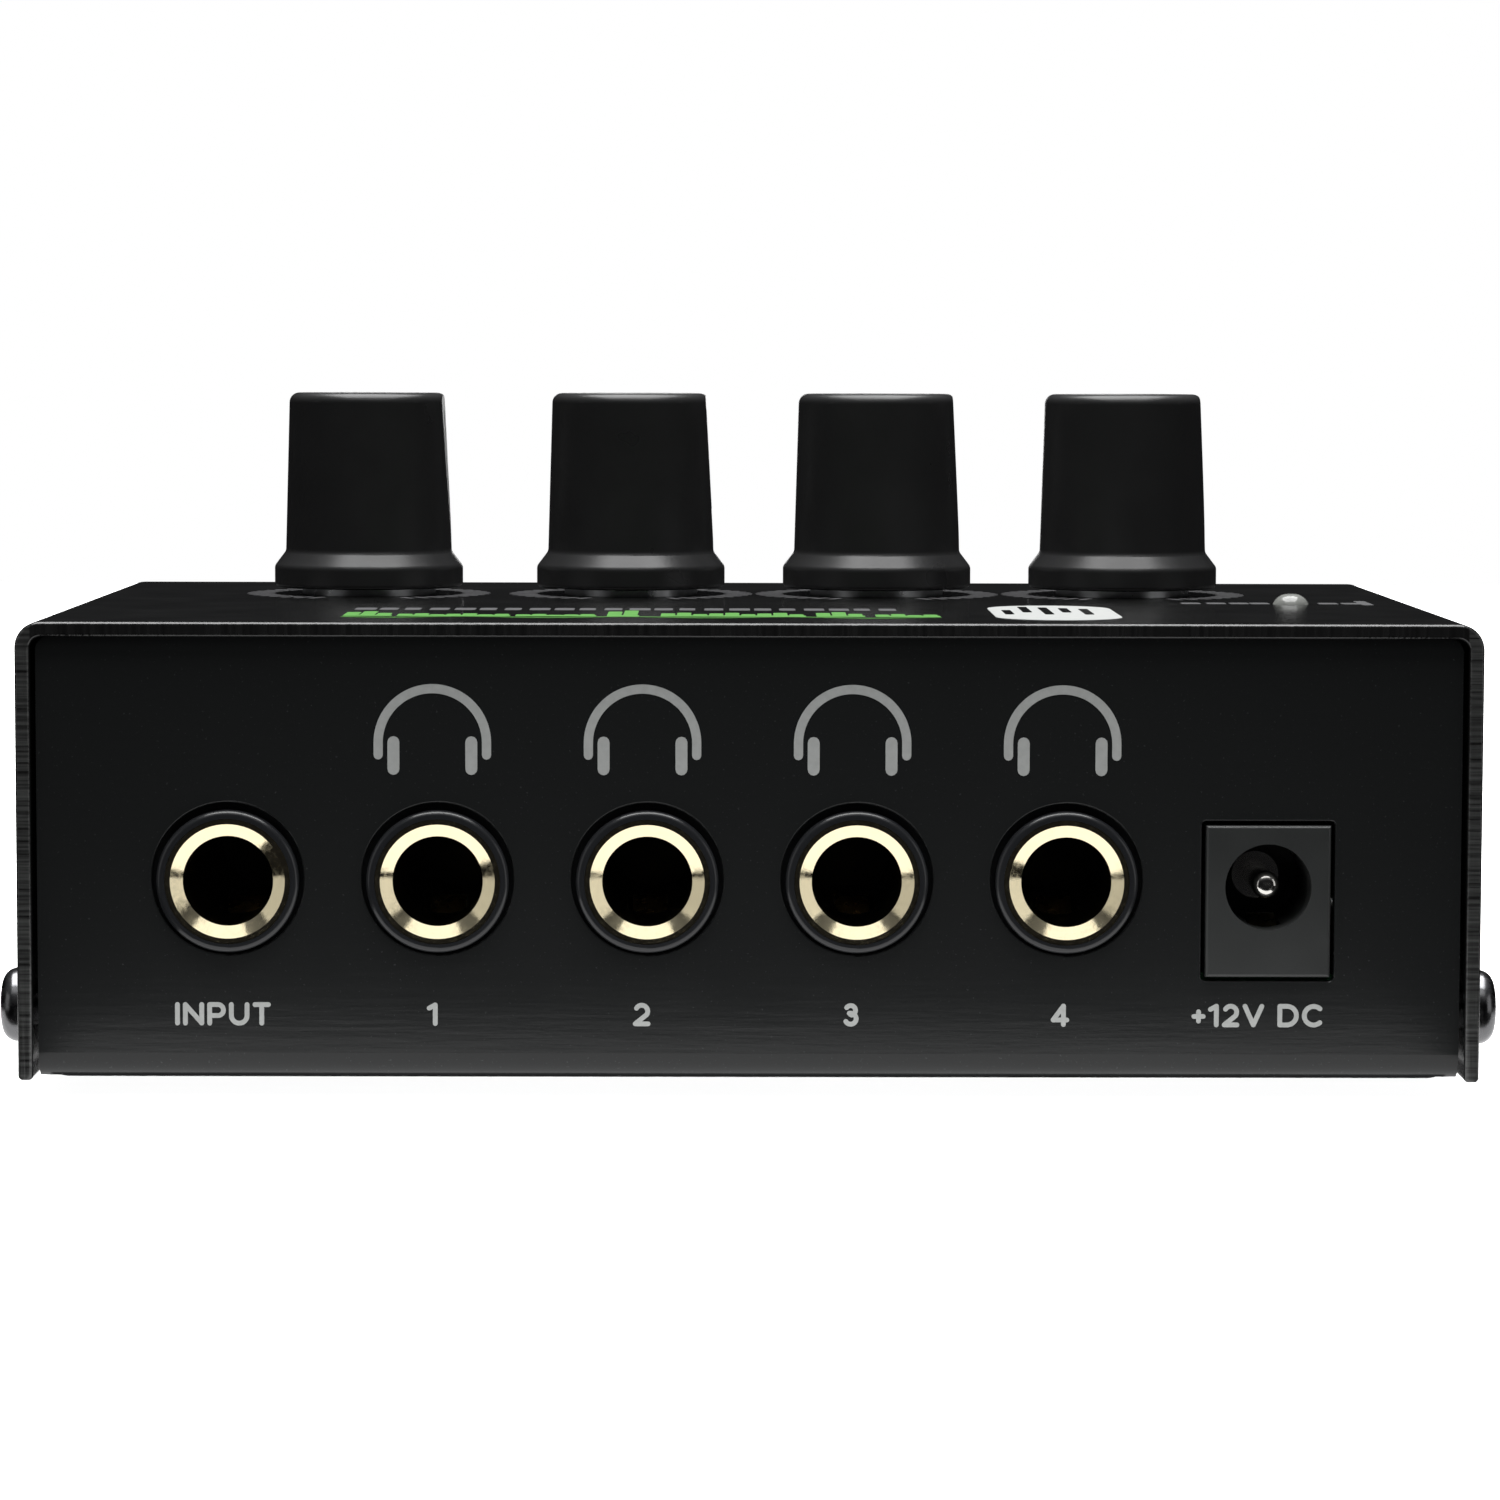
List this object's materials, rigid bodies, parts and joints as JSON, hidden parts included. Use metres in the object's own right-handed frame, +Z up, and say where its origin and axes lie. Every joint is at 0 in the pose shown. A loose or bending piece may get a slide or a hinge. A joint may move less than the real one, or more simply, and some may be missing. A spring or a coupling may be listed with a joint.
{
  "type": "headphone amplifier",
  "caption": "Compact desktop headphone amplifier in a folded steel case, with an input jack, headphone jacks and a DC inlet on one panel and level knobs on top.",
  "frame": {"origin": "on the table under the centre of the case, at the centre of the bounding box's underside", "axes": "+X to the right when the jack panel faces the viewer, +Y from the jack panel towards the user's side, +Z up"},
  "size_m": [0.1106, 0.065, 0.0513],
  "materials": {
    "chip_plastic": "black moulded epoxy, matt",
    "chassis_paint": "fine-grained black powder coat on folded steel, semi-matt",
    "tinned_leads": "tinned metal, satin",
    "zinc_plate": "zinc plate, satin",
    "capacitor_sleeve": "dark blue shrink sleeve, glossy",
    "black_nickel": "dark nickel-plated steel, bright",
    "spring_metal": "plated phosphor bronze, satin",
    "inlet_plastic": "black moulded plastic, satin",
    "nickel_plate": "nickel plate, bright",
    "foot_rubber": "soft black rubber, matt",
    "jack_plastic": "black moulded plastic, satin",
    "gold_plate": "gold-plated brass, bright",
    "knob_plastic": "black moulded plastic, satin, with a painted pointer line",
    "spacer_plastic": "black nylon, matt",
    "circuit_board": "green solder mask, satin",
    "pot_plastic": "dark moulded plastic, matt",
    "shaft_aluminium": "drawn aluminium, satin",
    "led_lens": "milky clear epoxy",
    "resistor_lacquer": "light blue lacquer, glossy",
    "cover_paint": "fine-grained black powder coat on folded steel, semi-matt"
  },
  "bodies": {
    "case": {"amplifier_chips": "chip_plastic", "base_chassis": "chassis_paint", "board_link": "tinned_leads", "board_screws": "zinc_plate", "board_standoffs": "zinc_plate", "capacitors": "capacitor_sleeve", "clinch_nuts": "zinc_plate", "cover_screws": "black_nickel", "dc_inlet_contact": "spring_metal", "dc_inlet_housing": "inlet_plastic", "dc_inlet_pin": "nickel_plate", "foot_back_left": "foot_rubber", "foot_back_right": "foot_rubber", "foot_front_left": "foot_rubber", "foot_front_right": "foot_rubber", "jack_contacts_1": "spring_metal", "jack_contacts_2": "spring_metal", "jack_contacts_3": "spring_metal", "jack_contacts_4": "spring_metal", "jack_contacts_input": "spring_metal", "jack_housing_1": "jack_plastic", "jack_housing_2": "jack_plastic", "jack_housing_3": "jack_plastic", "jack_housing_4": "jack_plastic", "jack_housing_input": "jack_plastic", "jack_sleeve_1": "gold_plate", "jack_sleeve_2": "gold_plate", "jack_sleeve_3": "gold_plate", "jack_sleeve_4": "gold_plate", "jack_sleeve_input": "gold_plate", "led_spacer": "spacer_plastic", "main_board": "circuit_board", "pot_board": "circuit_board", "pot_body_1": "pot_plastic", "pot_body_2": "pot_plastic", "pot_body_3": "pot_plastic", "pot_body_4": "pot_plastic", "pot_bushing_1": "zinc_plate", "pot_bushing_2": "zinc_plate", "pot_bushing_3": "zinc_plate", "pot_bushing_4": "zinc_plate", "pot_nuts": "zinc_plate", "pot_terminals_1": "tinned_leads", "pot_terminals_2": "tinned_leads", "pot_terminals_3": "tinned_leads", "pot_terminals_4": "tinned_leads", "pot_washers": "zinc_plate", "power_led": "led_lens", "resistors": "resistor_lacquer", "top_cover": "cover_paint", "voltage_regulator": "chip_plastic"},
    "level_1": {"knob_1": "knob_plastic", "pot_shaft_1": "shaft_aluminium"},
    "level_2": {"knob_2": "knob_plastic", "pot_shaft_2": "shaft_aluminium"},
    "level_3": {"knob_3": "knob_plastic", "pot_shaft_3": "shaft_aluminium"},
    "level_4": {"knob_4": "knob_plastic", "pot_shaft_4": "shaft_aluminium"}
  },
  "joints": [
    {"name": "level_1_turn", "type": "hinge", "parent": "case", "child": "level_1", "pos_m": [-0.0308, 0.012, 0.035], "axis": [0, 0, -1], "range_deg": [-60, 240]},
    {"name": "level_2_turn", "type": "hinge", "parent": "case", "child": "level_2", "pos_m": [-0.0095, 0.012, 0.035], "axis": [0, 0, -1], "range_deg": [-60, 240]},
    {"name": "level_3_turn", "type": "hinge", "parent": "case", "child": "level_3", "pos_m": [0.0105, 0.012, 0.035], "axis": [0, 0, -1], "range_deg": [-60, 240]},
    {"name": "level_4_turn", "type": "hinge", "parent": "case", "child": "level_4", "pos_m": [0.0305, 0.012, 0.035], "axis": [0, 0, -1], "range_deg": [-60, 240]}
  ]
}
